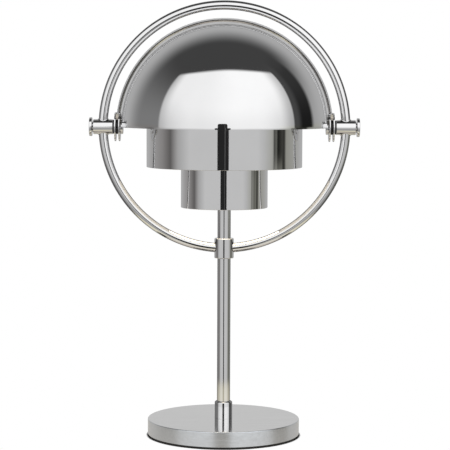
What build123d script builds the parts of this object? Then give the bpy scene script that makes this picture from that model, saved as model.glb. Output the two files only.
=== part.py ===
from build123d import *
from math import cos, radians, sin, sqrt
import os

# A chromed cordless table lamp. A round base holds the battery, and a slim stem rises from it
# through a collar that carries an upright ring. Two nested quarter-sphere shades turn about one
# level axis, on bolts through the ring's two sides. Two open cylinders stand at the ring's
# centre, round an opal light source on top of the stem.
# Millimetres. The origin is on the floor, on the stem's axis. Z is up and the front faces -Y.

# Clearances
seat_fit = 0.05          # between fixed parts that are pushed or slid together
running_fit = 0.08       # radial, between a turning ear and its bolt
turning_play = 0.05      # along the axis, on each side of a turning ear
slot_play = 0.15         # round a part that shows through a wall
inside_gap = 0.3         # between parts that lie side by side in the base

# Base
base_radius = 52.4
base_edge = 0.5          # rounding of the cover's top edge
foot_thickness = 1.4
foot_inset = 0.8
plate_thickness = 2.0
cavity_height = 6.1
cover_top = 2.2
cover_wall = 2.0

# Stem and its collar on the base
stem_radius = 4.55
stem_wall = 1.2
stem_lift = 2.4          # from the bottom plate up to the stem's lower end
foot_collar_wall = 1.5
foot_collar_height = 12.0
collar_chamfer = 0.8
stem_nut_size = 13.0     # across flats
stem_nut_lift = 0.2      # from the stem's lower end up to the nut

# Ring and the collar that holds it on the stem
ring_height = 213.2      # the ring's centre above the floor
tube_radius = 3.15
tube_wall = 1.0
ring_collar_wall = 2.15
ring_collar_height = 13.8
ring_end_gap = 0.2       # between the tube's ends and the stem
grub_radius = 1.5
grub_drop = 3.6          # below the middle of the collar

# Shades
outer_shade_radius = 74.4
sheet = 1.0
shade_gap = 1.3          # between the outer shade's inside and the inner shade's outside
ear_radius = 9.85
outer_ear_proud = 0.8    # from the sphere's pole out to the ear's face
inner_ear_proud = 0.3
neck_width = 1.0         # the step that joins an ear to its shell
notch_depth = 2.8        # relief at the level rims' corners, measured in from the pole
notch_height = 5.4

# Pivots
bolt_radius = 2.0
bolt_head_radius = 6.45
bolt_head_thickness = 1.9
bolt_neck_radius = 3.6
bolt_neck_length = 0.8
head_chamfer = 0.3
sleeve_radius = 5.1
sleeve_length = 13.4
friction_washer_radius = 4.8
friction_washer_thickness = 1.25
spacer_radius = 5.0
pivot_nut_radius = 4.95
pivot_nut_thickness = 1.9

# Cylinders at the ring's centre
large_radius = 53.4
large_length = 54.6
small_radius = 29.8
small_clearance = 8.5    # from the small cylinder's rims to the inside of the inner shade
cylinder_wall = 1.0

# Holder that carries the cylinders and the light source
hub_radius = 15.5
hub_thickness = 6.0
stem_in_hub = 4.0
wire_hole_radius = 2.0
arm_count = 3
arm_width = 6.0
arm_thickness = 2.0
tab_width = 8.0
tab_height = 16.0
tab_thickness = 1.5

# Light source
led_board_radius = 14.5
led_board_thickness = 1.2
led_count = 6
led_size = 2.8
led_thickness = 0.7
led_circle_radius = 10.0
opal_wall = 1.4
opal_straight = 10.0     # from the hub's middle to where an opal's rounded end begins

# Ballast and its screws
ballast_width = 12.9     # of the ring, from its inside to its outside
bay_margin = 4.0         # from the board's sides to the bay's sides
screw_count = 3
screw_radius = 1.45
screw_head_radius = 3.0
screw_head_height = 1.5
screw_length = 6.4
boss_radius = 3.4

# Battery and circuit board
battery_width = 44.0
battery_headroom = 0.6
battery_rounding = 1.0
battery_gap = 1.5        # from the stem nut's corners
board_width = 48.0
board_gap = 3.5          # from the stem nut's corners
board_thickness = 1.2
board_lift = 0.6
board_tongue_width = 10.0
post_radius = 1.2
post_inset = 3.0
chip_size = 7.0
chip_thickness = 1.0
wire_radius = 1.0
wire_bend = 3.0

# Charging socket in the rear edge of the base
socket_width = 8.9
socket_height = 3.2
socket_wall = 0.4
socket_length = 8.4
socket_back = 1.2
socket_setback = 0.4     # from the base's edge in to the socket's mouth
contact_thickness = 0.7
contact_setback = 0.8

# Dimmer button in the rear edge of the base
button_angle = 65.0      # round the base, from +X towards the rear
button_radius = 2.1
button_rounding = 0.3
button_proud = 1.0
button_travel = 0.6
flange_thickness = 1.0
flange_gap = 0.4         # from the cover's wall in to the flange
flange_headroom = 0.35
tail_radius = 1.5
tail_length = 2.4
switch_width = 6.0
switch_depth = 3.6
switch_headroom = 0.9
switch_gap = 0.2         # left between the tail and the switch at the end of the stroke

# Levels and radii that follow from the sizes above
plate_top = foot_thickness + plate_thickness
cover_ceiling = plate_top + cavity_height
cover_crown = cover_ceiling + cover_top
cavity_radius = base_radius - cover_wall
stem_bottom = plate_top + stem_lift
stem_bore = stem_radius - stem_wall
stem_nut_corner = stem_nut_size / sqrt(3)
hub_bottom = ring_height - hub_thickness / 2
hub_top = ring_height + hub_thickness / 2
stem_top = hub_bottom + stem_in_hub
board_bottom = plate_top + board_lift
board_top = board_bottom + board_thickness
board_front = stem_nut_corner + board_gap
battery_front = stem_nut_corner + battery_gap
ballast_outer = cavity_radius - seat_fit
ballast_inner = ballast_outer - ballast_width
screw_circle_radius = ballast_outer - ballast_width / 2
room_radius = ballast_inner - inside_gap
battery_depth = sqrt(room_radius**2 - (battery_width / 2) ** 2) - battery_front
bay_start = sqrt(room_radius**2 - (board_width / 2) ** 2)
inner_shade_radius = outer_shade_radius - sheet - shade_gap
inner_shade_bore = inner_shade_radius - sheet
small_length = 2 * sqrt((inner_shade_bore - small_clearance) ** 2 - small_radius**2)
large_bore = large_radius - cylinder_wall
opal_bore = hub_radius + 2 * seat_fit
opal_radius = opal_bore + opal_wall
opal_foot = arm_thickness / 2 + seat_fit
foot_collar_radius = stem_radius + foot_collar_wall
ring_collar_radius = stem_radius + ring_collar_wall

# Places along the pivots, measured out from the stem's axis
inner_ear_out = inner_shade_radius + inner_ear_proud
inner_ear_in = inner_ear_out - sheet
outer_ear_out = outer_shade_radius + outer_ear_proud
outer_ear_in = outer_ear_out - sheet
nut_out = inner_ear_in - turning_play
nut_in = nut_out - pivot_nut_thickness
washer_in = outer_ear_out + turning_play
sleeve_in = washer_in + friction_washer_thickness
sleeve_out = sleeve_in + sleeve_length
ring_radius = (sleeve_in + sleeve_out) / 2
bolt_seat = sleeve_out + bolt_neck_length
bolt_end = bolt_seat + bolt_head_thickness
collar_level = ring_height - ring_radius

# Places along the button, measured out from the stem's axis
button_face = base_radius + button_proud
flange_out = cavity_radius - flange_gap
flange_in = flange_out - flange_thickness
tail_end = flange_in - tail_length
switch_face = tail_end - button_travel - switch_gap
flange_radius = cavity_height / 2 - flange_headroom

# Planes. The ring's plane faces the front, with its local y upright.
ring_center = Vector(0, 0, ring_height)
ring_plane = Plane(origin=ring_center, x_dir=(1, 0, 0), z_dir=(0, -1, 0))
head_plane = Plane.XY.offset(ring_height)
button_line = (cos(radians(button_angle)), sin(radians(button_angle)), 0)
button_side = (-sin(radians(button_angle)), cos(radians(button_angle)), 0)
button_plane = Plane(
    origin=(0, 0, plate_top + cavity_height / 2), x_dir=button_side, z_dir=button_line
)
socket_plane = Plane(
    origin=(0, base_radius - socket_setback, board_top + socket_height / 2),
    x_dir=(1, 0, 0),
    z_dir=(0, -1, 0),
)
plate_underside = Plane(origin=(0, 0, foot_thickness), x_dir=(1, 0, 0), z_dir=(0, 0, -1))


# A plane square to the pivots, with its local x towards the rear and its local y upright
def across_pivot(distance):
    return Plane(origin=(distance, 0, ring_height), x_dir=(0, 1, 0), z_dir=(1, 0, 0))


os.makedirs("parts", exist_ok=True)

# Rubber foot, a disc glued under the base
with BuildPart() as foot_pad:
    with BuildSketch(Plane.XY):
        Circle(base_radius - foot_inset)
    extrude(amount=foot_thickness)
foot_pad.part.label = "foot_pad"
export_step(foot_pad.part, "parts/foot_pad.step")

# Bottom plate, pushed up into the cover and held by countersunk screws
with BuildPart() as base_plate:
    with BuildSketch(Plane.XY.offset(foot_thickness)):
        Circle(ballast_outer)
    extrude(amount=plate_thickness)
    with Locations(plate_underside):
        with PolarLocations(screw_circle_radius, screw_count, start_angle=90):
            CounterSinkHole(
                radius=screw_radius + seat_fit,
                counter_sink_radius=screw_head_radius + seat_fit,
                depth=plate_thickness,
                counter_sink_angle=90,
            )
base_plate.part.label = "base_plate"
export_step(base_plate.part, "parts/base_plate.step")

# Base cover, a shallow turned steel cup with a rounded edge and three screw bosses inside.
# Its rear edge is cut through for the charging socket and the dimmer button.
with BuildPart() as base_cover:
    with BuildSketch(Plane.XY.offset(foot_thickness)):
        Circle(base_radius)
    extrude(amount=cover_crown - foot_thickness)
    fillet(base_cover.faces().sort_by(Axis.Z)[-1].edges(), min(base_edge, cover_top / 2))
    with BuildSketch(Plane.XY.offset(foot_thickness)):
        Circle(cavity_radius)
    extrude(amount=cover_ceiling - foot_thickness, mode=Mode.SUBTRACT)
    with BuildSketch(Plane.XY.offset(plate_top + seat_fit)):
        with PolarLocations(screw_circle_radius, screw_count, start_angle=-90):
            Circle(boss_radius)
    extrude(amount=cavity_height - seat_fit)
    with BuildSketch(Plane.XY.offset(foot_thickness)):
        with PolarLocations(screw_circle_radius, screw_count, start_angle=-90):
            Circle(screw_radius + seat_fit)
    extrude(amount=screw_length + seat_fit, mode=Mode.SUBTRACT)
    with BuildSketch(Plane.XY.offset(cover_ceiling)):
        Circle(stem_radius + seat_fit)
    extrude(amount=cover_top, mode=Mode.SUBTRACT)
    with BuildSketch(button_plane.offset(cavity_radius - cover_wall)):
        Circle(button_radius + slot_play)
    extrude(amount=3 * cover_wall, mode=Mode.SUBTRACT)
    with BuildSketch(socket_plane.offset(-cover_wall)):
        SlotOverall(socket_width + 2 * slot_play, socket_height + 2 * slot_play)
    extrude(amount=3 * cover_wall, mode=Mode.SUBTRACT)
base_cover.part.label = "base_cover"
export_step(base_cover.part, "parts/base_cover.step")

# Ballast, a thick steel ring with an open bay at the rear for the socket and the button
with BuildPart() as ballast_ring:
    with BuildSketch(Plane.XY.offset(plate_top)):
        Circle(ballast_outer)
        Circle(ballast_inner, mode=Mode.SUBTRACT)
        with PolarLocations(screw_circle_radius, screw_count, start_angle=-90):
            Circle(boss_radius + seat_fit, mode=Mode.SUBTRACT)
        with Locations((0, bay_start)):
            Rectangle(
                board_width + 2 * bay_margin,
                base_radius,
                align=(Align.CENTER, Align.MIN),
                mode=Mode.SUBTRACT,
            )
    extrude(amount=cavity_height - inside_gap)
ballast_ring.part.label = "ballast_ring"
export_step(ballast_ring.part, "parts/ballast_ring.step")

# Countersunk screws of the bottom plate, which the rubber foot covers
with BuildPart() as base_screws:
    with PolarLocations(screw_circle_radius, screw_count, start_angle=-90):
        with Locations((0, 0, foot_thickness)):
            Cylinder(
                screw_radius, screw_length, align=(Align.CENTER, Align.CENTER, Align.MIN)
            )
            Cone(
                screw_head_radius,
                screw_radius,
                screw_head_height,
                align=(Align.CENTER, Align.CENTER, Align.MIN),
            )
base_screws.part.label = "base_screws"
export_step(base_screws.part, "parts/base_screws.step")

# Flat battery pack in front of the stem
with BuildPart() as battery_pack:
    with BuildSketch(Plane.XY.offset(plate_top)):
        with Locations((0, -battery_front)):
            Rectangle(battery_width, battery_depth, align=(Align.CENTER, Align.MAX))
    extrude(amount=cavity_height - battery_headroom)
    fillet(battery_pack.edges().filter_by(Axis.Z), battery_rounding)
battery_pack.part.label = "battery_pack"
export_step(battery_pack.part, "parts/battery_pack.step")

# Circuit board behind the stem, on four posts. Its rear edge follows the round base, with a
# tongue under the charging socket.
with BuildPart() as control_board:
    with BuildSketch(Plane.XY.offset(board_bottom)):
        with Locations((0, board_front)):
            Rectangle(board_width, base_radius, align=(Align.CENTER, Align.MIN))
        Circle(switch_face, mode=Mode.INTERSECT)
        with Locations((0, board_front)):
            Rectangle(
                board_tongue_width,
                cavity_radius - board_front - 2 * inside_gap,
                align=(Align.CENTER, Align.MIN),
            )
    extrude(amount=board_thickness)
    post_spread = board_width - 2 * post_inset
    with BuildSketch(Plane.XY.offset(plate_top)):
        with Locations((0, board_front + post_inset), (0, bay_start)):
            with GridLocations(post_spread, 0, 2, 1):
                Circle(post_radius)
    extrude(amount=board_lift)
    with BuildSketch(Plane.XY.offset(board_top)):
        with Locations((0, (board_front + bay_start) / 2)):
            with GridLocations(2 * chip_size, 0, 2, 1):
                Rectangle(chip_size, chip_size)
    extrude(amount=chip_thickness)
control_board.part.label = "control_board"
export_step(control_board.part, "parts/control_board.step")

# Charging socket, a flat-sided metal shell with a contact blade in its mouth
with BuildPart() as charging_socket:
    with BuildSketch(socket_plane):
        SlotOverall(socket_width, socket_height)
    extrude(amount=socket_length)
    with BuildSketch(socket_plane):
        SlotOverall(socket_width - 2 * socket_wall, socket_height - 2 * socket_wall)
    extrude(amount=socket_length - socket_back, mode=Mode.SUBTRACT)
    with BuildSketch(socket_plane.offset(contact_setback)):
        Rectangle(socket_width - socket_height, contact_thickness)
    extrude(amount=socket_length - contact_setback)
charging_socket.part.label = "charging_socket"
export_step(charging_socket.part, "parts/charging_socket.step")

# Dimmer button, a round pin whose flange stops it inside the cover's wall
with BuildPart() as dimmer_button:
    with BuildSketch(button_plane.offset(flange_in)):
        Circle(button_radius)
    extrude(amount=button_face - flange_in)
    face = dimmer_button.faces().sort_by(Axis((0, 0, 0), button_line))[-1]
    fillet(face.edges(), button_rounding)
    with BuildSketch(button_plane.offset(flange_in)):
        Circle(flange_radius)
    extrude(amount=flange_thickness)
    with BuildSketch(button_plane.offset(tail_end)):
        Circle(tail_radius)
    extrude(amount=tail_length)
dimmer_button.part.label = "dimmer_button"
export_step(dimmer_button.part, "parts/dimmer_button.step")

# Push switch on the board, behind the button
with BuildPart() as dimmer_switch:
    with BuildSketch(Plane(origin=(0, 0, board_top), x_dir=button_line, z_dir=(0, 0, 1))):
        with Locations((switch_face, 0)):
            Rectangle(switch_depth, switch_width, align=(Align.MAX, Align.CENTER))
    extrude(amount=cavity_height - board_lift - board_thickness - switch_headroom)
dimmer_switch.part.label = "dimmer_switch"
export_step(dimmer_switch.part, "parts/dimmer_switch.step")

# Nut that draws the stem down into the cover
with BuildPart() as stem_nut:
    with BuildSketch(Plane.XY.offset(stem_bottom + stem_nut_lift)):
        RegularPolygon(stem_nut_corner, 6)
        Circle(stem_radius + seat_fit, mode=Mode.SUBTRACT)
    extrude(amount=cover_ceiling - stem_bottom - stem_nut_lift)
stem_nut.part.label = "stem_nut"
export_step(stem_nut.part, "parts/stem_nut.step")

# Stem, one straight tube from inside the base up into the hub
with BuildPart() as stem_tube:
    with BuildSketch(Plane.XY.offset(stem_bottom)):
        Circle(stem_radius)
        Circle(stem_bore, mode=Mode.SUBTRACT)
    extrude(amount=stem_top - stem_bottom)
stem_tube.part.label = "stem_tube"
export_step(stem_tube.part, "parts/stem_tube.step")

# Collar at the stem's foot, turned with a bevelled top
with BuildPart() as foot_collar:
    with BuildSketch(Plane.XY.offset(cover_crown)):
        Circle(foot_collar_radius)
    extrude(amount=foot_collar_height)
    chamfer(
        foot_collar.faces().sort_by(Axis.Z)[-1].edges(), min(collar_chamfer, foot_collar_wall / 2)
    )
    with BuildSketch(Plane.XY.offset(cover_crown)):
        Circle(stem_radius + seat_fit)
    extrude(amount=foot_collar_height, mode=Mode.SUBTRACT)
foot_collar.part.label = "foot_collar"
export_step(foot_collar.part, "parts/foot_collar.step")

# Lead from the circuit board, under the stem's lower end and up to the upper lamp board
wire_level = board_bottom + board_thickness / 2
with BuildPart() as stem_wire:
    with BuildLine() as wire_path:
        FilletPolyline(
            (0, board_front, wire_level), (0, 0, wire_level), (0, 0, hub_top), radius=wire_bend
        )
    with BuildSketch(Plane(origin=(0, board_front, wire_level), z_dir=(0, -1, 0))):
        Circle(wire_radius)
    sweep(path=wire_path.line)
stem_wire.part.label = "stem_wire"
export_step(stem_wire.part, "parts/stem_wire.step")

# Collar that grips the stem and takes the ring's two ends in its cross bore
with BuildPart() as ring_collar:
    with BuildSketch(Plane.XY.offset(collar_level - ring_collar_height / 2)):
        Circle(ring_collar_radius)
    extrude(amount=ring_collar_height)
    collar_ends = ring_collar.faces().filter_by(Axis.Z).edges()
    chamfer(collar_ends, min(collar_chamfer, ring_collar_wall / 2))
    with BuildSketch(Plane.XY.offset(collar_level - ring_collar_height / 2)):
        Circle(stem_radius + seat_fit)
    extrude(amount=ring_collar_height, mode=Mode.SUBTRACT)
    with Locations(ring_plane):
        Torus(ring_radius, tube_radius + seat_fit, mode=Mode.SUBTRACT)
    with BuildSketch(Plane(origin=(0, 0, collar_level - grub_drop), z_dir=(0, 1, 0))):
        Circle(grub_radius + seat_fit)
    extrude(amount=2 * ring_collar_radius, mode=Mode.SUBTRACT)
ring_collar.part.label = "ring_collar"
export_step(ring_collar.part, "parts/ring_collar.step")

# Grub screw in the rear of the ring's collar, driven against the stem
with BuildPart() as collar_grub_screw:
    with BuildSketch(
        Plane(origin=(0, stem_radius + seat_fit, collar_level - grub_drop), z_dir=(0, 1, 0))
    ):
        Circle(grub_radius)
    extrude(amount=ring_collar_wall - 2 * slot_play)
collar_grub_screw.part.label = "collar_grub_screw"
export_step(collar_grub_screw.part, "parts/collar_grub_screw.step")

# Ring, a tube bent to a circle with its ends in the collar and a bolt hole in each side
with BuildPart() as frame_ring:
    with Locations(ring_plane):
        Torus(ring_radius, tube_radius)
        Torus(ring_radius, tube_radius - tube_wall, mode=Mode.SUBTRACT)
    with Locations((0, 0, collar_level)):
        Box(
            2 * (stem_radius + ring_end_gap),
            4 * tube_radius,
            4 * tube_radius,
            mode=Mode.SUBTRACT,
        )
    with BuildSketch(across_pivot(-sleeve_out)):
        Circle(bolt_radius + seat_fit)
    extrude(amount=2 * sleeve_out, mode=Mode.SUBTRACT)
frame_ring.part.label = "frame_ring"
export_step(frame_ring.part, "parts/frame_ring.step")

# Pivot sleeves, cross tubes brazed on the ring's sides, which the bolts pass through
with BuildPart() as pivot_sleeve_right:
    with BuildSketch(across_pivot(sleeve_in)):
        Circle(sleeve_radius)
        Circle(bolt_radius + seat_fit, mode=Mode.SUBTRACT)
    extrude(amount=sleeve_length)
    with Locations(ring_plane):
        Torus(ring_radius, tube_radius + seat_fit, mode=Mode.SUBTRACT)
pivot_sleeve_right.part.label = "pivot_sleeve_right"
export_step(pivot_sleeve_right.part, "parts/pivot_sleeve_right.step")

with BuildPart() as pivot_sleeve_left:
    mirror(pivot_sleeve_right.part, about=Plane.YZ)
pivot_sleeve_left.part.label = "pivot_sleeve_left"
export_step(pivot_sleeve_left.part, "parts/pivot_sleeve_left.step")

# Pivot bolts, each with a flat round head, a short neck and a shank right through the pivot
with BuildPart() as pivot_bolts:
    with BuildSketch(ring_plane):
        with BuildLine():
            Polyline(
                (nut_in, 0),
                (nut_in, bolt_radius),
                (sleeve_out, bolt_radius),
                (sleeve_out, bolt_neck_radius),
                (bolt_seat, bolt_neck_radius),
                (bolt_seat, bolt_head_radius),
                (bolt_end, bolt_head_radius),
                (bolt_end, 0),
                close=True,
            )
        make_face()
    revolve(axis=Axis(ring_center, (1, 0, 0)))
    head = pivot_bolts.faces().filter_by(Axis.X).sort_by(Axis.X)[-1]
    chamfer(head.edges(), head_chamfer)
    mirror(about=Plane.YZ)
pivot_bolts.part.label = "pivot_bolts"
export_step(pivot_bolts.part, "parts/pivot_bolts.step")

# Dark friction washers between the sleeves and the outer shade's ears
with BuildPart() as friction_washers:
    with BuildSketch(across_pivot(washer_in)):
        Circle(friction_washer_radius)
        Circle(bolt_radius + seat_fit, mode=Mode.SUBTRACT)
    extrude(amount=friction_washer_thickness)
    mirror(about=Plane.YZ)
friction_washers.part.label = "friction_washers"
export_step(friction_washers.part, "parts/friction_washers.step")

# Spacers between the two shades' ears
with BuildPart() as ear_spacers:
    with BuildSketch(across_pivot(inner_ear_out + turning_play)):
        Circle(spacer_radius)
        Circle(bolt_radius + seat_fit, mode=Mode.SUBTRACT)
    extrude(amount=outer_ear_in - inner_ear_out - 2 * turning_play)
    mirror(about=Plane.YZ)
ear_spacers.part.label = "ear_spacers"
export_step(ear_spacers.part, "parts/ear_spacers.step")

# Round nuts on the bolts' inner ends
with BuildPart() as pivot_nuts:
    with BuildSketch(across_pivot(nut_in)):
        Circle(pivot_nut_radius)
        Circle(bolt_radius + seat_fit, mode=Mode.SUBTRACT)
    extrude(amount=pivot_nut_thickness)
    mirror(about=Plane.YZ)
pivot_nuts.part.label = "pivot_nuts"
export_step(pivot_nuts.part, "parts/pivot_nuts.step")

# Shades, each a quarter of a sphere spun in sheet. At each pole a stepped neck carries a round
# flat ear on the pivot, and the level rim's corners are relieved beside the ears. The inner
# shade hangs in front and the outer one behind, and together they close to a dome.
for name, radius, ear_out, turn in (
    ("inner_shade", inner_shade_radius, inner_ear_out, 1),
    ("outer_shade", outer_shade_radius, outer_ear_out, -1),
):
    ear_in = ear_out - sheet
    bore = radius - sheet
    neck_in = sqrt(bore**2 - ear_radius**2)
    notch_in = radius - notch_depth
    with BuildPart() as shade:
        with BuildSketch(ring_plane):
            Circle(radius)
            Circle(bore, mode=Mode.SUBTRACT)
            with Locations((0, ear_radius - neck_width)):
                Rectangle(
                    3 * radius, 2 * radius, align=(Align.CENTER, Align.MAX), mode=Mode.SUBTRACT
                )
            with GridLocations(neck_in + ear_in, 0, 2, 1):
                with Locations((0, ear_radius - neck_width)):
                    Rectangle(ear_in - neck_in, neck_width, align=(Align.CENTER, Align.MIN))
        revolve(axis=Axis(ring_center, (turn, 0, 0)), revolution_arc=90)
        for start in (notch_in, -ear_in):
            with BuildSketch(across_pivot(start)):
                Rectangle(2 * radius, 2 * notch_height)
            extrude(amount=ear_in - notch_in, mode=Mode.SUBTRACT)
        for start in (ear_in, -ear_out):
            with BuildSketch(across_pivot(start)):
                Circle(ear_radius)
                Circle(bolt_radius + running_fit, mode=Mode.SUBTRACT)
            extrude(amount=sheet)
    shade.part.label = name
    export_step(shade.part, f"parts/{name}.step")

# Large cylinder, an open tube of polished sheet
with BuildPart() as large_cylinder:
    with BuildSketch(head_plane.offset(-large_length / 2)):
        Circle(large_radius)
        Circle(large_bore, mode=Mode.SUBTRACT)
    extrude(amount=large_length)
large_cylinder.part.label = "large_cylinder"
export_step(large_cylinder.part, "parts/large_cylinder.step")

# Small cylinder, a longer open tube inside the large one, slotted where the arms pass
with BuildPart() as small_cylinder:
    with BuildSketch(head_plane.offset(-small_length / 2)):
        Circle(small_radius)
        Circle(small_radius - cylinder_wall, mode=Mode.SUBTRACT)
    extrude(amount=small_length)
    with BuildSketch(head_plane.offset(-opal_foot)):
        with PolarLocations(small_radius, arm_count, start_angle=90):
            Rectangle(4 * cylinder_wall, arm_width + 2 * seat_fit)
    extrude(amount=2 * opal_foot, mode=Mode.SUBTRACT)
small_cylinder.part.label = "small_cylinder"
export_step(small_cylinder.part, "parts/small_cylinder.step")

# Spider, a hub on the stem's top with three arms. They pass through the small cylinder and
# end in curved tabs that are welded to the inside of the large one.
tab_out = large_bore - seat_fit
tab_in = tab_out - tab_thickness
with BuildPart() as head_spider:
    with BuildSketch(head_plane.offset(-hub_thickness / 2)):
        Circle(hub_radius)
    extrude(amount=hub_thickness)
    with BuildSketch(head_plane.offset(-arm_thickness / 2)):
        with PolarLocations(0, arm_count, start_angle=90):
            Rectangle(tab_in + tab_thickness / 2, arm_width, align=(Align.MIN, Align.CENTER))
    extrude(amount=arm_thickness)
    with BuildSketch(head_plane.offset(-tab_height / 2)):
        with PolarLocations(0, arm_count, start_angle=90):
            Rectangle(large_radius, tab_width, align=(Align.MIN, Align.CENTER))
        Circle(tab_out, mode=Mode.INTERSECT)
        Circle(tab_in, mode=Mode.SUBTRACT)
    extrude(amount=tab_height)
    with BuildSketch(head_plane.offset(-hub_thickness / 2)):
        Circle(stem_radius + seat_fit)
    extrude(amount=stem_in_hub, mode=Mode.SUBTRACT)
    with BuildSketch(head_plane):
        Circle(wire_hole_radius)
    extrude(amount=hub_thickness, mode=Mode.SUBTRACT)
head_spider.part.label = "head_spider"
export_step(head_spider.part, "parts/head_spider.step")

# Upper lamp board, a round board with a circle of light emitters
with BuildPart() as upper_lamp_board:
    with BuildSketch(Plane.XY.offset(hub_top)):
        Circle(led_board_radius)
    extrude(amount=led_board_thickness)
    with BuildSketch(Plane.XY.offset(hub_top + led_board_thickness)):
        with PolarLocations(led_circle_radius, led_count):
            Rectangle(led_size, led_size)
    extrude(amount=led_thickness)
upper_lamp_board.part.label = "upper_lamp_board"
export_step(upper_lamp_board.part, "parts/upper_lamp_board.step")

# Lower lamp board, the same board under the hub, open for the stem
with BuildPart() as lower_lamp_board:
    mirror(upper_lamp_board.part, about=head_plane)
    with BuildSketch(head_plane):
        Circle(stem_radius + slot_play)
    extrude(amount=-hub_thickness, mode=Mode.SUBTRACT)
lower_lamp_board.part.label = "lower_lamp_board"
export_step(lower_lamp_board.part, "parts/lower_lamp_board.step")

# Upper opal, a blown cap whose skirt fits over the hub
with BuildPart() as upper_opal:
    with BuildSketch(ring_plane):
        with BuildLine():
            CenterArc((0, opal_straight), opal_radius, 0, 90)
            CenterArc((0, opal_straight), opal_bore, 0, 90)
            Line((0, opal_straight + opal_radius), (0, opal_straight + opal_bore))
            Polyline(
                (opal_radius, opal_straight),
                (opal_radius, opal_foot),
                (opal_bore, opal_foot),
                (opal_bore, opal_straight),
            )
        make_face()
    revolve(axis=Axis.Z)
upper_opal.part.label = "upper_opal"
export_step(upper_opal.part, "parts/upper_opal.step")

# Lower opal, the same cap turned down, with a hole for the stem
with BuildPart() as lower_opal:
    mirror(upper_opal.part, about=head_plane)
    with BuildSketch(head_plane):
        Circle(stem_radius + slot_play)
    extrude(amount=-2 * opal_straight - opal_radius, mode=Mode.SUBTRACT)
lower_opal.part.label = "lower_opal"
export_step(lower_opal.part, "parts/lower_opal.step")
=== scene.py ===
import math

import bmesh
import bpy
from mathutils import Matrix, Vector


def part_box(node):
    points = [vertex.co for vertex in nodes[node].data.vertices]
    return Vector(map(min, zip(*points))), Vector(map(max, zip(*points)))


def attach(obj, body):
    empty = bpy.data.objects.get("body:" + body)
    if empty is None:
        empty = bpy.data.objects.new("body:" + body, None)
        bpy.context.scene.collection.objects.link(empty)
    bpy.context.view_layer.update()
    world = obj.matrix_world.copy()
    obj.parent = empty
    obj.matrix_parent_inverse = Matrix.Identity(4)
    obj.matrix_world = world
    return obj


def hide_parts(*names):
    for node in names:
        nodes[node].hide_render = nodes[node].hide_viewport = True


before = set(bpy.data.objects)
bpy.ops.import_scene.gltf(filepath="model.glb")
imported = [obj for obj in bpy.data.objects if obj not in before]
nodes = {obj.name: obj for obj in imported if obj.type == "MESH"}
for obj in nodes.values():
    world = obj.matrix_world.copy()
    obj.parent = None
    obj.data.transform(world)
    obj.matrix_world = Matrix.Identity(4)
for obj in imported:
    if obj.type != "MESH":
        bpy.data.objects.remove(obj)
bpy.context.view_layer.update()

# Camera. It stands straight in front of the lamp, a little above the shades' axis, and looks
# slightly down, so that the base shows its top and the shades close to a level line.
stands_at = (0.0006, -1.221, 0.2436)
look_down = 4.575
roll = 0.22
lens = bpy.data.cameras.new("eye")
lens.lens = 142.3
lens.sensor_width = 36.0
lens.clip_start = 0.05
lens.clip_end = 60.0
camera = bpy.data.objects.new("camera", lens)
tilt = Matrix.Rotation(math.radians(90 - look_down), 4, "X")
tilt = tilt @ Matrix.Rotation(math.radians(roll), 4, "Z")
camera.matrix_world = Matrix.Translation(stands_at) @ tilt
bpy.context.scene.collection.objects.link(camera)
bpy.context.scene.camera = camera


# Studio. One tall white panel in front, a dark flag on the right, grey walls and a dark
# ceiling are all that the chrome has to reflect. They are drawn by direction, as azimuth from
# the front and height above the horizon in degrees. The view itself sees plain white.
def add(tree, kind, **settings):
    node = tree.nodes.new("ShaderNode" + kind)
    for name, value in settings.items():
        setattr(node, name, value)
    return node


def feed(tree, socket, value):
    if isinstance(value, bpy.types.NodeSocket):
        tree.links.new(value, socket)
    else:
        socket.default_value = value


def calc(tree, operation, *values):
    node = add(tree, "Math", operation=operation)
    for socket, value in zip(node.inputs, values):
        feed(tree, socket, value)
    return node.outputs[0]


def fade(tree, value, start, end, low=0.0, high=1.0):
    node = add(tree, "MapRange", interpolation_type="SMOOTHSTEP")
    for socket, setting in zip(node.inputs, (value, start, end, low, high)):
        feed(tree, socket, setting)
    return node.outputs[0]


def blend(tree, share, first, second):
    node = add(tree, "Mix", data_type="FLOAT")
    for number, value in ((0, share), (2, first), (3, second)):
        feed(tree, node.inputs[number], value)
    return node.outputs[0]


def blend_colour(tree, share, first, second):
    node = add(tree, "Mix", data_type="RGBA")
    for number, value in ((0, share), (6, first), (7, second)):
        feed(tree, node.inputs[number], value)
    return node.outputs[2]


def within(tree, value, low, high, edge):
    rise = fade(tree, value, low - edge, low)
    return calc(tree, "MULTIPLY", rise, fade(tree, value, high, high + edge, 1.0, 0.0))


world = bpy.data.worlds.new("studio")
bpy.context.scene.world = world
world.use_nodes = True
studio = world.node_tree
studio.nodes.clear()
degrees = math.degrees(1)
direction = add(studio, "SeparateXYZ")
studio.links.new(add(studio, "TexCoord").outputs["Generated"], direction.inputs[0])
forward = calc(studio, "MULTIPLY", direction.outputs["Y"], -1.0)
azimuth = calc(studio, "ARCTAN2", direction.outputs["X"], forward)
azimuth = calc(studio, "MULTIPLY", azimuth, degrees)
height = calc(studio, "MULTIPLY", calc(studio, "ARCSINE", direction.outputs["Z"]), degrees)
off_back = calc(studio, "MULTIPLY", calc(studio, "ARCCOSINE", direction.outputs["Y"]), degrees)

# walls under a dark ceiling, paler towards the back
wall = blend(studio, fade(studio, azimuth, 90.0, 108.0), 0.21, 0.34)
wall = blend(studio, fade(studio, height, 5.0, 56.0), wall, 0.056)
wall = blend(studio, fade(studio, off_back, 43.0, 77.0, 1.0, 0.0), wall, 0.44)
wall = blend(studio, fade(studio, off_back, 8.0, 38.0, 1.0, 0.0), wall, 0.59)
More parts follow.
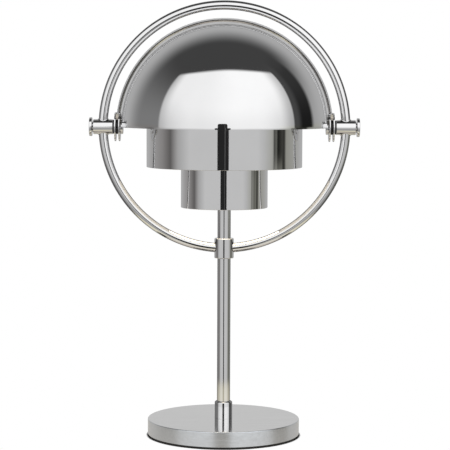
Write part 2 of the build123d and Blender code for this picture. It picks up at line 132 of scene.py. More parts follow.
# dark flag on the right, a little paler beside the panel
flag = within(studio, azimuth, 83.0, 108.0, 8.0)
flag = calc(studio, "MULTIPLY", flag, fade(studio, height, 40.0, 62.0, 1.0, 0.0))
flag_level = fade(studio, height, 0.0, 40.0, 0.012, 0.035)
flag_level = blend(studio, fade(studio, azimuth, 86.0, 95.0), 0.062, flag_level)
wall = blend(studio, flag, wall, flag_level)
# front panel with a softly arched top edge
arch = calc(studio, "POWER", calc(studio, "SUBTRACT", azimuth, 4.0), 2.0)
arch = calc(studio, "MULTIPLY_ADD", arch, -0.0026, 65.0)
over_arch = calc(studio, "SUBTRACT", height, arch)
panel_left = fade(studio, azimuth, -77.5, -73.5)
panel_right = fade(studio, azimuth, 80.0, 82.6, 1.0, 0.0)
panel = calc(studio, "MULTIPLY", panel_left, panel_right)
panel = calc(studio, "MULTIPLY", panel, fade(studio, over_arch, -2.5, 2.0, 1.0, 0.0))
# its light, which falls off to the sides and to the lower corners
left_corner = fade(studio, height, 0.0, 35.0, 0.66, 0.95)
right_corner = fade(studio, height, 0.0, 42.0, 0.76, 0.98)
panel_light = blend(studio, fade(studio, azimuth, -80.0, -35.0), left_corner, 1.0)
panel_light = blend(studio, fade(studio, azimuth, 34.0, 76.0), panel_light, right_corner)
panel_light = calc(studio, "ADD", panel_light, fade(studio, azimuth, -30.0, 20.0, 0.0, 0.1))
left_end = fade(studio, height, 5.0, 45.0, 0.8, 0.47)
for falloff in (
    fade(studio, height, 0.0, 25.0, 0.91, 1.0),
    blend(studio, fade(studio, azimuth, -78.0, -61.0), left_end, 1.0),
    fade(studio, azimuth, 62.0, 82.0, 1.0, 0.56),
):
    panel_light = calc(studio, "MULTIPLY", panel_light, falloff)
sky = blend(studio, panel, wall, panel_light)


# a colour for each direction round the lamp
def all_round(stops):
    ramp = add(studio, "ValToRGB")
    feed(studio, ramp.inputs[0], calc(studio, "MULTIPLY_ADD", azimuth, 1 / 360, 0.5))
    elements = ramp.color_ramp.elements
    for number, (turn, colour) in enumerate(stops):
        stop = elements[number] if number < 2 else elements.new(1.0)
        stop.position = turn / 360 + 0.5
        stop.color = (*colour, 1)
    return ramp.outputs[0]


# ground beyond the table, from the far left round to the far right: azimuth and grey
ground_greys = (
    (-150, 0.44),
    (-104, 0.26),
    (-86, 0.12),
    (-72, 0.4),
    (-52, 0.58),
    (50, 0.58),
    (74, 0.4),
    (76, 0.33),
    (78, 0.03),
    (80.5, 0.12),
    (83, 0.12),
    (84.5, 0.01),
    (88, 0.02),
    (94, 0.05),
    (99, 0.03),
    (103, 0.3),
    (150, 0.44),
)
ground = all_round([(turn, (grey, grey, grey)) for turn, grey in ground_greys])
paler = within(studio, azimuth, 79.0, 93.0, 2.5)
paler = calc(studio, "MULTIPLY", paler, fade(studio, height, -3.0, -2.2, 1.0, 0.0))
ground = calc(studio, "MULTIPLY_ADD", paler, 0.12, ground)
ground = calc(studio, "MULTIPLY", ground, fade(studio, height, -24.0, -9.0, 0.6, 1.0))
around = blend(studio, fade(studio, height, -1.0, 0.2), ground, sky)
# the ground is a little pink on the left and yellow on the right
ground_hue = all_round(
    (
        (-150, (1, 1, 1)),
        (-90, (1.0, 0.955, 0.935)),
        (-66, (1, 1, 1)),
        (60, (1, 1, 1)),
        (90, (1.0, 1.0, 0.86)),
        (150, (1, 1, 1)),
    )
)
camera_ray = add(studio, "LightPath").outputs["Is Camera Ray"]
neutral = calc(studio, "MAXIMUM", camera_ray, fade(studio, height, 0.0, 3.0))
light = add(studio, "Background")
feed(studio, light.inputs["Color"], blend_colour(studio, neutral, ground_hue, (1, 1, 1, 1)))
feed(studio, light.inputs["Strength"], blend(studio, camera_ray, around, 1.0))
studio.links.new(light.outputs[0], add(studio, "OutputWorld").inputs[0])
bpy.context.scene.view_settings.view_transform = "Standard"


# Cards in the mirror. A black camera, its stand nearer to the lamp, and a dark bench that only
# a second reflection shows. The chrome alone shows them, as the view itself looks through them.
def lay_over(tree, share, under, over):
    node = add(tree, "MixShader")
    for socket, value in zip(node.inputs, (share, under, over)):
        feed(tree, socket, value)
    return node.outputs[0]


def position(tree):
    node = add(tree, "SeparateXYZ")
    tree.links.new(add(tree, "TexCoord").outputs["Object"], node.inputs[0])
    return node.outputs


def card_black(name, second_only):
    made = bpy.data.materials.new(name)
    made.use_nodes = True
    tree = made.node_tree
    tree.nodes.clear()
    pale_strip = within(tree, position(tree)[0], 0.006, 0.013, 0.004)
    dull = add(tree, "Emission")
    feed(tree, dull.inputs["Strength"], fade(tree, pale_strip, 0.0, 1.0, 0.02, 0.1))
    path = add(tree, "LightPath")
    unseen = path.outputs["Is Camera Ray"]
    if second_only:
        unseen = calc(tree, "LESS_THAN", path.outputs["Ray Depth"], 1.5)
    clear = add(tree, "BsdfTransparent").outputs[0]
    whole = lay_over(tree, unseen, dull.outputs[0], clear)
    tree.links.new(whole, add(tree, "OutputMaterial").inputs[0])
    return made


camera_black = card_black("camera_black", False)
bench_black = card_black("bench_black", True)
for name, material, left, right, away, low, top, corner in (
    ("camera_body", camera_black, -0.155, 0.067, 1.25, 0.14, 0.317, 0.04),
    ("camera_stand", camera_black, -0.106, 0.066, 0.62, -0.45, 0.2168, 0.003),
    ("bench", bench_black, -0.314, 0.226, 1.26, 0.06, 0.6, 0.01),
):
    card = bmesh.new()
    outline = [(left, -away, low), (right, -away, low)]
    for middle, start in ((right - corner, 0), (left + corner, 90)):
        for angle in range(start, start + 91, 15):
            x = middle + corner * math.cos(math.radians(angle))
            z = top - corner + corner * math.sin(math.radians(angle))
            outline.append((x, -away, z))
    card.faces.new([card.verts.new(point) for point in outline])
    card_mesh = bpy.data.meshes.new(name)
    card.to_mesh(card_mesh)
    card.free()
    card_mesh.materials.append(material)
    backing = bpy.data.objects.new(name, card_mesh)
    bpy.context.scene.collection.objects.link(backing)


# Floor. A plain white sheet with a close dark line of painted shadow round the foot. In the chrome
# it shows as a round glazed table top, with a painted warm pool of lamp light under the lamp, and
# mirror-like at a low angle.
def off_axis(tree):
    place = position(tree)
    across = calc(tree, "POWER", place[0], 2.0)
    along = calc(tree, "POWER", place[1], 2.0)
    return calc(tree, "SQRT", calc(tree, "ADD", across, along))


floor_shape = bmesh.new()
bmesh.ops.create_circle(floor_shape, cap_ends=True, segments=64, radius=8.0)
floor_mesh = bpy.data.meshes.new("floor")
floor_shape.to_mesh(floor_mesh)
floor_shape.free()
floor = bpy.data.objects.new("floor", floor_mesh)
bpy.context.scene.collection.objects.link(floor)
white_sheet = bpy.data.materials.new("white_sheet")
white_sheet.use_nodes = True
tree = white_sheet.node_tree
tree.nodes.clear()
from_stem = off_axis(tree)
clear = add(tree, "BsdfTransparent").outputs[0]
# what the view sees: white, with the shadow line under the foot alone
contact = add(tree, "AmbientOcclusion", samples=8)
contact.inputs["Distance"].default_value = 0.0022
shadow = fade(tree, contact.outputs["AO"], 0.62, 0.95)
shadow = calc(tree, "MAXIMUM", shadow, fade(tree, from_stem, 0.07, 0.09))
white = add(tree, "Emission")
feed(tree, white.inputs["Strength"], shadow)
# what the chrome sees: the table top, with a painted warm pool of lamp light, a bright glazed ring
# and a soft outer edge
near_tone = (1, 0.91, 0.79, 1)
far_tone = (1, 0.94, 0.74, 1)
outer_light = fade(tree, from_stem, 0.14, 0.3, 0.8, 0.5)
warm_light = blend(tree, fade(tree, from_stem, 0.105, 0.135), 0.64, outer_light)
warm = add(tree, "Emission")
tone = blend_colour(tree, fade(tree, from_stem, 0.1, 0.16), near_tone, far_tone)
feed(tree, warm.inputs["Color"], tone)
feed(tree, warm.inputs["Strength"], warm_light)
glaze = add(tree, "BsdfGlossy")
glaze.inputs["Roughness"].default_value = 0.03
shine = add(tree, "Fresnel")
shine.inputs["IOR"].default_value = 1.6
glazed = calc(tree, "MAXIMUM", shine.outputs[0], within(tree, from_stem, 0.114, 0.133, 0.005))
table = lay_over(tree, glazed, warm.outputs[0], glaze.outputs[0])
table = lay_over(tree, fade(tree, from_stem, 0.19, 0.25, 1.0, 0.0), clear, table)
camera_ray = add(tree, "LightPath").outputs["Is Camera Ray"]
upper_side = lay_over(tree, camera_ray, table, white.outputs[0])
under_side = add(tree, "NewGeometry").outputs["Backfacing"]
whole = lay_over(tree, under_side, upper_side, clear)
tree.links.new(whole, add(tree, "OutputMaterial").inputs[0])
floor_mesh.materials.append(white_sheet)


# Rubber foot. A disc of soft black rubber, glued under the base so that it neither scratches
# nor slides. Its fine pebbled skin is a little greyer where it has rubbed.
def grain(tree, scale, detail=4.0, stretch=(1, 1, 1)):
    place = add(tree, "Mapping")
    place.inputs["Scale"].default_value = stretch
    tree.links.new(add(tree, "TexCoord").outputs["Object"], place.inputs["Vector"])
    noise = add(tree, "TexNoise")
    tree.links.new(place.outputs[0], noise.inputs["Vector"])
    noise.inputs["Scale"].default_value = scale
    noise.inputs["Detail"].default_value = detail
    noise.inputs["Roughness"].default_value = 0.55
    return noise.outputs["Fac"]


def finish_of(name, metallic, dark, pale, mottle, stretch=(1, 1, 1)):
    made = bpy.data.materials.new(name)
    made.use_nodes = True
    tree = made.node_tree
    shader = tree.nodes["Principled BSDF"]
    shader.inputs["Metallic"].default_value = metallic
    ramp = add(tree, "ValToRGB")
    ramp.color_ramp.elements[0].position = 0.32
    ramp.color_ramp.elements[1].position = 0.68
    ramp.color_ramp.elements[0].color = (*dark, 1)
    ramp.color_ramp.elements[1].color = (*pale, 1)
    tree.links.new(grain(tree, mottle, stretch=stretch), ramp.inputs[0])
    tree.links.new(ramp.outputs[0], shader.inputs["Base Color"])
    return made, tree, shader


def roughen(tree, shader, low, high, scale=90.0, stretch=(1, 1, 1)):
    mottled = fade(tree, grain(tree, scale, stretch=stretch), 0.3, 0.7, low, high)
    feed(tree, shader.inputs["Roughness"], mottled)


def relief(tree, shader, heights):
    last = None
    for value, depth in heights:
        bump = add(tree, "Bump")
        bump.inputs["Strength"].default_value = 1.0
        bump.inputs["Distance"].default_value = depth
        feed(tree, bump.inputs["Height"], value)
        if last:
            tree.links.new(last, bump.inputs["Normal"])
        last = bump.outputs[0]
    tree.links.new(last, shader.inputs["Normal"])


def paint(node, material):
    nodes[node].data.materials[0] = material


rubber_dark = (0.008, 0.008, 0.008)
rubber_pale = (0.016, 0.016, 0.016)
rubber, tree, shader = finish_of("black_rubber", 0.0, rubber_dark, rubber_pale, 240.0)
roughen(tree, shader, 0.55, 0.75, 300.0)
relief(tree, shader, [(grain(tree, 2200.0, 2.0), 0.00006)])
paint("foot_pad", rubber)


# Bottom plate, ballast and screws. Plain turned steel, with the faint rings that the lathe
# leaves, and three zinc-plated countersunk screws that the rubber foot hides.
steel, tree, shader = finish_of("turned_steel", 1.0, (0.5, 0.5, 0.51), (0.6, 0.6, 0.6), 70.0)
roughen(tree, shader, 0.28, 0.42)
rings = add(tree, "TexWave", wave_type="RINGS", rings_direction="Z")
tree.links.new(add(tree, "TexCoord").outputs["Object"], rings.inputs["Vector"])
rings.inputs["Scale"].default_value = 400.0
rings.inputs["Distortion"].default_value = 0.4
relief(tree, shader, [(rings.outputs["Fac"], 0.00001), (grain(tree, 900.0), 0.00002)])
paint("base_plate", steel)
paint("ballast_ring", steel)
zinc, tree, shader = finish_of("zinc_plate", 1.0, (0.6, 0.6, 0.57), (0.7, 0.69, 0.64), 500.0)
roughen(tree, shader, 0.2, 0.36, 600.0)
relief(tree, shader, [(grain(tree, 1500.0), 0.00001)])
for name in ("base_screws", "stem_nut", "charging_socket"):
    paint(name, zinc)


# Battery, circuit board, switch and lead. Shrink-wrapped cells, a green board with its copper
# just showing through the mask, a moulded switch and a jacketed lead up the stem.
wrap, tree, shader = finish_of("battery_wrap", 0.0, (0.09, 0.13, 0.19), (0.13, 0.18, 0.25), 120.0)
roughen(tree, shader, 0.25, 0.4)
relief(tree, shader, [(grain(tree, 160.0, 3.0), 0.0001)])
paint("battery_pack", wrap)
mask_dark = (0.02, 0.13, 0.05)
mask_pale = (0.05, 0.22, 0.09)
mask, tree, shader = finish_of("solder_mask", 0.0, mask_dark, mask_pale, 320.0, (1, 3, 1))
roughen(tree, shader, 0.3, 0.45)
relief(tree, shader, [(grain(tree, 420.0, 2.0, (1, 3, 1)), 0.00005)])
paint("control_board", mask)
moulded_dark = (0.02, 0.02, 0.021)
moulded_pale = (0.034, 0.034, 0.035)
moulded, tree, shader = finish_of("moulded_black", 0.0, moulded_dark, moulded_pale, 300.0)
roughen(tree, shader, 0.35, 0.5, 400.0)
relief(tree, shader, [(grain(tree, 2500.0, 2.0), 0.00002)])
paint("dimmer_switch", moulded)
jacket, tree, shader = finish_of("lead_jacket", 0.0, (0.62, 0.62, 0.6), (0.7, 0.7, 0.68), 200.0)
roughen(tree, shader, 0.4, 0.55)
paint("stem_wire", jacket)


# Base cover. A shallow steel cup, spun and chromed, with fine straight brushing over its top
# and round its edge under a clear polish.
def multiply_colour(tree, shader, factor):
    product = add(tree, "Mix", data_type="RGBA", blend_type="MULTIPLY")
    product.inputs[0].default_value = 1.0
    tree.links.new(shader.inputs["Base Color"].links[0].from_socket, product.inputs[6])
    tree.links.new(factor, product.inputs[7])
    tree.links.new(product.outputs[2], shader.inputs["Base Color"])


brushed_dark = (0.85, 0.85, 0.85)
brushed_pale = (0.93, 0.93, 0.93)
strokes = (1, 50, 50)
brushed, tree, shader = finish_of("brushed_chrome", 1.0, brushed_dark, brushed_pale, 15.0, strokes)
roughen(tree, shader, 0.08, 0.13, 30.0, strokes)
relief(tree, shader, [(grain(tree, 40.0, 3.0, (0.3, 60, 60)), 0.0000012)])
normal = add(tree, "SeparateXYZ")
tree.links.new(add(tree, "NewGeometry").outputs["Normal"], normal.inputs[0])
levelness = normal.outputs[2]
# rougher round the side wall than on the top, and painted a little bluer there to cool its
# reflection
rough = shader.inputs["Roughness"].links[0].from_socket
rougher = fade(tree, levelness, 0.0, 1.0, 0.13, 0.0)
feed(tree, shader.inputs["Roughness"], calc(tree, "ADD", rough, rougher))
painted_wall_cool_reflection = (0.86, 0.92, 1.0, 1)
multiply_colour(tree, shader, blend_colour(tree, levelness, painted_wall_cool_reflection, (1, 1, 1, 1)))
# brushed from left to right, it draws reflections out from front to back over the top, and up
# and down the wall
drawn_out = add(tree, "CombineXYZ")
feed(tree, drawn_out.inputs[1], levelness)
feed(tree, drawn_out.inputs[2], calc(tree, "SUBTRACT", 1.0, levelness))
tree.links.new(drawn_out.outputs[0], shader.inputs["Tangent"])
feed(tree, shader.inputs["Anisotropic"], fade(tree, levelness, 0.0, 1.0, 0.2, 0.95))
paint("base_cover", brushed)


# Foot collar. A short turned ring that slides down the stem onto the cover, with a bevelled
# upper edge. Like every turned piece here it is a section swung round, whose corners are given
# as distance from the axis, height and the radius that eases them.
def chrome_of(name, waver, marks):
    dark = (0.845, 0.845, 0.85)
    pale = (0.875, 0.875, 0.88)
    made, tree, shader = finish_of(name, 1.0, dark, pale, 34.0)
    roughen(tree, shader, 0.022, 0.05, 48.0, marks)
    relief(tree, shader, [(grain(tree, 22.0, 1.5), waver), (grain(tree, 1800.0, 2.0), 0.0000004)])
    return made


def tube_with_painted_side_shade(name, painted_side_shade, tint):
    made = chrome_of(name, 0.00001, (1, 1, 1))
    tree = made.node_tree
    shader = tree.nodes["Principled BSDF"]
    # painted shade: the colour darkens where the surface turns edge-on to the view, down to the
    # given share along a tube's sides
    edge = add(tree, "LayerWeight")
    edge.inputs["Blend"].default_value = 0.5
    multiply_colour(tree, shader, fade(tree, edge.outputs["Facing"], 0.3, 0.7, 1.0, painted_side_shade))
    shader.inputs["Specular Tint"].default_value = (tint, tint, tint, 1)
    return made


def eased(corners, steps=4):
    points = []
    for number, (x, y, radius) in enumerate(corners):
        here = Vector((x, y))
        previous = Vector(corners[number - 1][:2])
        following = Vector(corners[(number + 1) % len(corners)][:2])
        before = here + radius * (previous - here).normalized()
        after = here + radius * (following - here).normalized()
        for step in range(steps + 1 if radius else 1):
            share = step / steps
            points.append(before.lerp(here, share).lerp(here.lerp(after, share), share))
    return points


def spun(shape, points, closed, **turning):
    line = [shape.verts.new(point) for point in points]
    following = line[1:] + line[:1] if closed else line[1:]
    edges = [shape.edges.new(pair) for pair in zip(line, following)]
    bmesh.ops.spin(shape, geom=line + edges, **turning)
    bmesh.ops.remove_doubles(shape, verts=shape.verts, dist=1e-6)
    bmesh.ops.recalc_face_normals(shape, faces=shape.faces)


def swing(shape, section, place, facets=128):
    spun(
        shape,
        [place @ Vector((point.x, 0, point.y)) for point in section],
        section[0].x > 0,
        cent=place.translation,
        axis=place.to_3x3() @ Vector((0, 0, 1)),
        angle=2 * math.pi,
        steps=facets,
        use_merge=True,
    )


def even_shine(made):
    made.modifiers.new("even_shine", "WEIGHTED_NORMAL").weight = 80


def piece(name, shape, material, body="stand", instead=None):
    for face in shape.faces:
        face.smooth = True
    mesh = bpy.data.meshes.new(name)
    shape.to_mesh(mesh)
    shape.free()
    mesh.materials.append(material)
    made = bpy.data.objects.new(name, mesh)
    bpy.context.scene.collection.objects.link(made)
    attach(made, body)
    if instead:
        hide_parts(instead)
    return made


def turned(name, section, places, material, body="stand", instead=None):
    shape = bmesh.new()
    for place in places:
        swing(shape, section, place)
    made = piece(name, shape, material, body, instead)
    even_shine(made)
    return made


upright = Matrix.Identity(4)
turned_chrome = chrome_of("polished_turning", 0.000004, (1, 1, 1))
stem_low, stem_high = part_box("stem_tube")
paint("dimmer_button", turned_chrome)
low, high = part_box("foot_collar")
bevel = 0.0008
section = eased(
    [
        (stem_high.x, low.z, 0),
        (high.x, low.z, 0.0001),
        (high.x, high.z - bevel, 0.0004),
        (high.x - bevel, high.z, 0.0004),
        (stem_high.x, high.z, 0.0002),
    ]
)
# painted shade darkens the collar's colour towards its sides
collar_chrome = tube_with_painted_side_shade("polished_collar", 0.4, 0.6)
turned("turned_foot_collar", section, [upright], collar_chrome, instead="foot_collar")


# Stem. One drawn brass tube, polished and chromed, open at its lower end for the lead. Its
# colour carries painted shade, a little darker along its sides.
tube_chrome = tube_with_painted_side_shade("polished_tube", 0.45, 0.6)
stem_wall = 0.0012
section = eased(
    [
        (stem_high.x - stem_wall, stem_low.z, 0.0002),
        (stem_high.x, stem_low.z, 0.0003),
        (stem_high.x, stem_high.z, 0.0003),
        (stem_high.x - stem_wall, stem_high.z, 0.0002),
    ]
)
turned("drawn_stem", section, [upright], tube_chrome, instead="stem_tube")


# Ring collar. A turned block bored across for the two ends of the ring, bevelled at top and
# bottom, with a grub screw in its rear face that bears on the stem.
def skin(shape, loops, round_again):
    rows = [[shape.verts.new(point) for point in loop] for loop in loops]
    following = rows[1:] + rows[:1] if round_again else rows[1:]
    for row, other in zip(rows, following):
        for number in range(len(row)):
            after = (number + 1) % len(row)
            shape.faces.new((row[number], row[after], other[after], other[number]))


low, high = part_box("ring_collar")
bevel = 0.0004
section = eased(
    [
        (stem_high.x, low.z, 0.0002),
        (high.x - bevel, low.z, 0.0002),
        (high.x, low.z + bevel, 0.0002),
        (high.x, high.z - bevel, 0.0002),
        (high.x - bevel, high.z, 0.0002),
        (stem_high.x, high.z, 0.0002),
    ]
)
turned("turned_ring_collar", section, [upright], turned_chrome, instead="ring_collar")
low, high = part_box("collar_grub_screw")
screw_radius = high.x
screw_bevel = 0.00015
socket_side = 0.0008
socket_depth = 0.0009
shape = bmesh.new()
facets = 48
loops = []
for round_radius, depth in (
    (screw_radius, low.y),
    (screw_radius, high.y - screw_bevel),
    (screw_radius - screw_bevel, high.y),
    (None, high.y),
    (None, high.y - socket_depth),
):
    loop = []
    for step in range(facets):
        angle = 2 * math.pi * step / facets
        off_flat = (angle + math.pi / 6) % (math.pi / 3) - math.pi / 6
        away = round_radius or socket_side / math.cos(off_flat)
        middle = Vector((0, depth, (low.z + high.z) / 2))
        loop.append(middle + away * Vector((math.cos(angle), 0, math.sin(angle))))
    loops.append(loop)
skin(shape, loops, False)
bmesh.ops.holes_fill(shape, edges=shape.edges)
bmesh.ops.recalc_face_normals(shape, faces=shape.faces)
piece("hex_grub_screw", shape, zinc, instead="collar_grub_screw")


# Ring. A tube bent to a full circle, whose ends meet inside the collar. It is drilled through
# at each side for the pivot bolts.
ring_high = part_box("frame_ring")[1]
tube_radius = ring_high.y
ring_radius = ring_high.x - tube_radius
centre = Vector((0, 0, ring_high.z - ring_high.x))
stem_clearance = 0.0002
end_gap = math.asin((stem_high.x + stem_clearance) / ring_radius)
arcs = 16
bends = 20
arc = (math.pi - end_gap) / arcs
facets = 64
shape = bmesh.new()
top = Matrix.Translation(centre + Vector((0, 0, ring_radius)))
top = top @ Matrix.Rotation(math.pi / 2, 4, "Y")
bmesh.ops.create_circle(shape, segments=facets, radius=tube_radius, matrix=top)
# one arc at the top, fifteen more like it down to the collar, and the other half
for steps, angle, copied in ((bends, arc, False), (arcs - 1, arc * (arcs - 1), True)):
    bmesh.ops.spin(
        shape,
        geom=shape.verts[:] + shape.edges[:] + shape.faces[:],
        cent=centre,
        axis=(0, 1, 0),
        angle=angle,
        steps=steps,
        use_duplicate=copied,
    )
bmesh.ops.remove_doubles(shape, verts=shape.verts, dist=1e-6)
half = shape.verts[:] + shape.edges[:] + shape.faces[:]
bmesh.ops.mirror(shape, geom=half, axis="X", merge_dist=1e-6)
bmesh.ops.holes_fill(shape, edges=shape.edges)
bmesh.ops.recalc_face_normals(shape, faces=shape.faces)
# painted shade darkens the ring's colour towards its sides, most of all here
ring_chrome = tube_with_painted_side_shade("polished_ring", 0.25, 0.35)
piece("bent_ring", shape, ring_chrome, instead="frame_ring")


# Pivot sleeves. Short cross tubes brazed on the ring's two sides, with eased ends. A fillet of
# braze runs into the ring above and below each; its skin closes inside the metal.
def on_pivot(side):
    return Matrix.Translation(centre) @ Matrix.Rotation(side * math.pi / 2, 4, "Y")


both = [on_pivot(1), on_pivot(-1)]
bolt_radius = 0.002
for name, side in (("right", 1), ("left", -1)):
    low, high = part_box("pivot_sleeve_" + name)
    near = min(abs(low.x), abs(high.x))
    far = max(abs(low.x), abs(high.x))
    section = eased(
        [
            (bolt_radius, near, 0.0002),
            (high.y, near, 0.0004),
            (high.y, far, 0.0004),
            (bolt_radius, far, 0.0002),
        ]
    )
    node = "pivot_sleeve_" + name
    turned("brazed_sleeve_" + name, section, [on_pivot(side)], turned_chrome, instead=node)
sleeve_out = far
sleeve_radius = high.y
fillet = 0.0013
fillet_steps = 8
shape = bmesh.new()
for side in (1, -1):
    for up in (1, -1):
        loops = []
        for step in range(fillet_steps + 2):
            inner_skin = step > fillet_steps
            bend = math.pi / 2 * min(step, fillet_steps) / fillet_steps
            sunk = 0.0003 if inner_skin else 0.00002
            loop = []
            for number in range(facets):
                turn = 2 * math.pi * number / facets
                size = fillet * (0.2 + 0.8 * math.cos(turn) ** 2)
                spread = -sunk if inner_skin else size * (1 - math.cos(bend))
                away = tube_radius + spread
                y = away * math.sin(turn)
                z = math.sqrt(sleeve_radius ** 2 - y ** 2) + size * (1 - math.sin(bend)) - sunk
                x = math.sqrt(ring_radius ** 2 - z ** 2) + away * math.cos(turn)
                loop.append(centre + Vector((side * x, y, up * z)))
            loops.append(loop)
        skin(shape, loops, True)
bmesh.ops.recalc_face_normals(shape, faces=shape.faces)
piece("braze_fillets", shape, turned_chrome)


# Pivot bolts. Each has a flat round head and a short neck, and its shank runs through the
# sleeve and both ears to a round nut inside.
low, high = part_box("pivot_bolts")
neck_radius = 0.0036
neck_length = 0.0008
nut_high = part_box("pivot_nuts")[1]
nut_thickness = 0.0019
nut_in = nut_high.x - nut_thickness
section = eased(
    [
        (0, nut_in, 0),
        (bolt_radius, nut_in, 0.0003),
        (bolt_radius, sleeve_out, 0),
        (neck_radius, sleeve_out, 0),
        (neck_radius, sleeve_out + neck_length, 0),
        (high.y, sleeve_out + neck_length, 0.0002),
        (high.y, high.x, 0.0005),
        (0, high.x, 0),
    ]
)
turned("turned_bolts", section, both, turned_chrome, instead="pivot_bolts")
section = eased(
    [
        (bolt_radius, nut_in, 0.0002),
        (nut_high.y, nut_in, 0.0004),
        (nut_high.y, nut_high.x, 0.0004),
        (bolt_radius, nut_high.x, 0.0002),
    ]
)
turned("round_nuts", section, both, turned_chrome, instead="pivot_nuts")


# Washers and spacers. Punched dark fibre discs that grip the ears, so that a shade stays
# where it is turned to.
sheet = 0.001
punched_play = 0.00005
inner_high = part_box("inner_shade")[1]
outer_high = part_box("outer_shade")[1]
for name, instead, near in (
    ("fibre_washers", "friction_washers", outer_high.x + punched_play),
    ("fibre_spacers", "ear_spacers", inner_high.x + punched_play),
):
    low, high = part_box(instead)
    section = eased(
        [
            (bolt_radius, near, 0.0001),
            (high.y, near, 0.0003),
            (high.y, high.x, 0.0003),
            (bolt_radius, high.x, 0.0001),
        ]
    )
    turned(name, section, both, moulded, instead=instead)


# Shades. Each is a quarter of a sphere spun in one sheet, with a stepped neck and a round flat
# ear at each pole. The corners of the level rim are relieved beside the ears.
sheet_chrome = chrome_of("polished_sheet", 0.00006, (1, 1, 3))
inside = sheet_chrome.copy()
inside.name = "polished_inside_painted_glow"
shader = inside.node_tree.nodes["Principled BSDF"]
# painted light: the inner faces glow faintly so that deep reflections inside the shades do not go
# black
shader.inputs["Emission Color"].default_value = (1, 0.95, 0.88, 1)
shader.inputs["Emission Strength"].default_value = 0.012
satin, tree, shader = finish_of("satin_edge", 1.0, (0.6, 0.6, 0.61), (0.66, 0.66, 0.66), 80.0)
roughen(tree, shader, 0.3, 0.4)
relief(tree, shader, [(grain(tree, 1200.0, 2.0), 0.000004)])
ear_hole = 0.00208
notch_depth = 0.0028
notch_height = 0.0054
rim_rounding = 0.00048
spans = 216
turns = 108
for name, node, body, rearward in (
    ("front", "inner_shade", "front_shade", -1),
    ("rear", "outer_shade", "rear_shade", 1),
):
    low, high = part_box(node)
    radius = high.z - centre.z
    ear_radius = centre.z - low.z
    ear_out = high.x
    start = math.asin(ear_radius / radius)
    profile = [Vector((ear_out - sheet / 2, ear_radius))]
    for step in range(spans + 1):
        angle = start + (math.pi - 2 * start) * step / spans
        profile.append(radius * Vector((math.cos(angle), math.sin(angle))))
    profile.append(Vector((sheet / 2 - ear_out, ear_radius)))
    shape = bmesh.new()
    spun(
        shape,
        [centre + Vector((point.x, rearward * point.y, 0)) for point in profile],
        False,
        cent=centre,
        axis=(rearward, 0, 0),
        angle=math.pi / 2,
        steps=turns,
    )
    for place, square_to in (
        ((radius - notch_depth, 0, 0), (1, 0, 0)),
        ((notch_depth - radius, 0, 0), (1, 0, 0)),
        ((0, 0, centre.z + notch_height), (0, 0, 1)),
    ):
        every = shape.verts[:] + shape.edges[:] + shape.faces[:]
        bmesh.ops.bisect_plane(shape, geom=every, plane_co=place, plane_no=square_to)
    relieved = []
    for face in shape.faces:
        middle = face.calc_center_median()
        if abs(middle.x) > radius - notch_depth and middle.z < centre.z + notch_height:
            relieved.append(face)
    bmesh.ops.delete(shape, geom=relieved, context="FACES")
    crown = max(shape.faces, key=lambda face: face.calc_center_median().z)
    if crown.normal.z < 0:
        bmesh.ops.reverse_faces(shape, faces=shape.faces)
    shell = piece(name + "_shell", shape, sheet_chrome, body, node)
    shell.data.materials.append(inside)
    shell.data.materials.append(satin)
    thick = shell.modifiers.new("sheet", "SOLIDIFY")
    thick.thickness = sheet
    thick.offset = -1
    thick.use_even_offset = True
    thick.material_offset = 1
    thick.material_offset_rim = 2
    rounding = shell.modifiers.new("rounding", "BEVEL")
    rounding.width = rim_rounding
    rounding.segments = 4
    rounding.angle_limit = math.radians(40)
    even_shine(shell)
    section = eased(
        [
            (ear_hole, ear_out - sheet, 0.0001),
            (ear_radius, ear_out - sheet, 0.0003),
            (ear_radius, ear_out, 0.0003),
            (ear_hole, ear_out, 0.0001),
        ]
    )
    turned(name + "_ears", section, both, sheet_chrome, body=body)
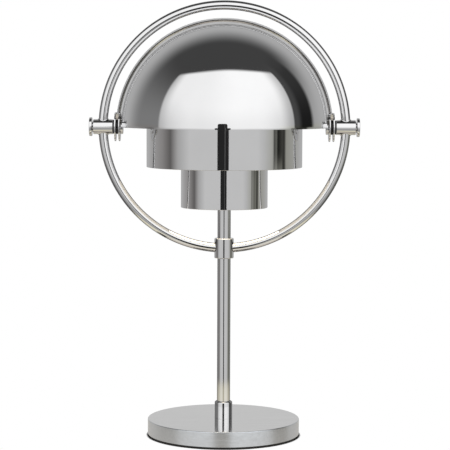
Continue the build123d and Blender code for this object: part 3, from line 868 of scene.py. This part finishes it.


# Cylinders. Two open tubes of polished sheet round the light, one inside the other, with
# rolled smooth rims. Their white insides carry a painted glow, stronger in the large tube, for the
# light that they spread.
enamel_dark = (0.78, 0.77, 0.74)
enamel_pale = (0.84, 0.83, 0.8)
enamel, tree, shader = finish_of("glowing_enamel", 0.0, enamel_dark, enamel_pale, 50.0)
roughen(tree, shader, 0.28, 0.4)
relief(tree, shader, [(grain(tree, 700.0, 2.0), 0.00001)])
# painted light: the enamel glows faintly near the axis and more strongly towards the large tube's
# wall
glow = fade(tree, off_axis(tree), 0.031, 0.05, 0.1, 0.5)
feed(tree, shader.inputs["Emission Strength"], glow)
shader.inputs["Emission Color"].default_value = (1.0, 0.92, 0.8, 1)
for name, node in (("large_tube", "large_cylinder"), ("small_tube", "small_cylinder")):
    low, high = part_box(node)
    section = eased(
        [
            (high.x - sheet, low.z, 0.0003),
            (high.x, low.z, 0.0003),
            (high.x, high.z, 0.0003),
            (high.x - sheet, high.z, 0.0003),
        ]
    )
    shape = bmesh.new()
    swing(shape, section, upright, 256)
    for face in shape.faces:
        outward = face.calc_center_median().xy.normalized()
        if face.normal.xy.dot(outward) < -0.7:
            face.material_index = 1
    made = piece(name, shape, sheet_chrome, instead=node)
    made.data.materials.append(enamel)
    even_shine(made)


# Spider. A hub on the stem's top with three flat arms that run out through the small cylinder
# to the large one. Cast alloy, blasted with fine beads.
alloy, tree, shader = finish_of("cast_alloy", 1.0, (0.6, 0.6, 0.6), (0.72, 0.72, 0.72), 200.0)
roughen(tree, shader, 0.38, 0.55, 500.0)
relief(tree, shader, [(grain(tree, 1400.0, 3.0), 0.00004)])
paint("head_spider", alloy)


# Lamp boards. Round white boards with a circle of light emitters, above and below the hub.
board, tree, shader = finish_of("lamp_board", 0.0, (0.78, 0.78, 0.75), (0.86, 0.86, 0.83), 260.0)
roughen(tree, shader, 0.3, 0.45)
paint("upper_lamp_board", board)
paint("lower_lamp_board", board)


# Opals. Two blown caps of satin opal that fit over the hub's rim from above and below, and
# glow a little from the emitters inside.
opal, tree, shader = finish_of("satin_opal", 0.0, (0.84, 0.82, 0.77), (0.9, 0.88, 0.84), 60.0)
roughen(tree, shader, 0.3, 0.42)
shader.inputs["Emission Color"].default_value = (1.0, 0.88, 0.7, 1)
shader.inputs["Emission Strength"].default_value = 3.6
relief(tree, shader, [(grain(tree, 900.0, 2.0), 0.00001)])
paint("lower_opal", opal)
dim_opal = opal.copy()
dim_opal.name = "satin_opal_dim"
shader = dim_opal.node_tree.nodes["Principled BSDF"]
shader.inputs["Emission Strength"].default_value = 1.0
paint("upper_opal", dim_opal)
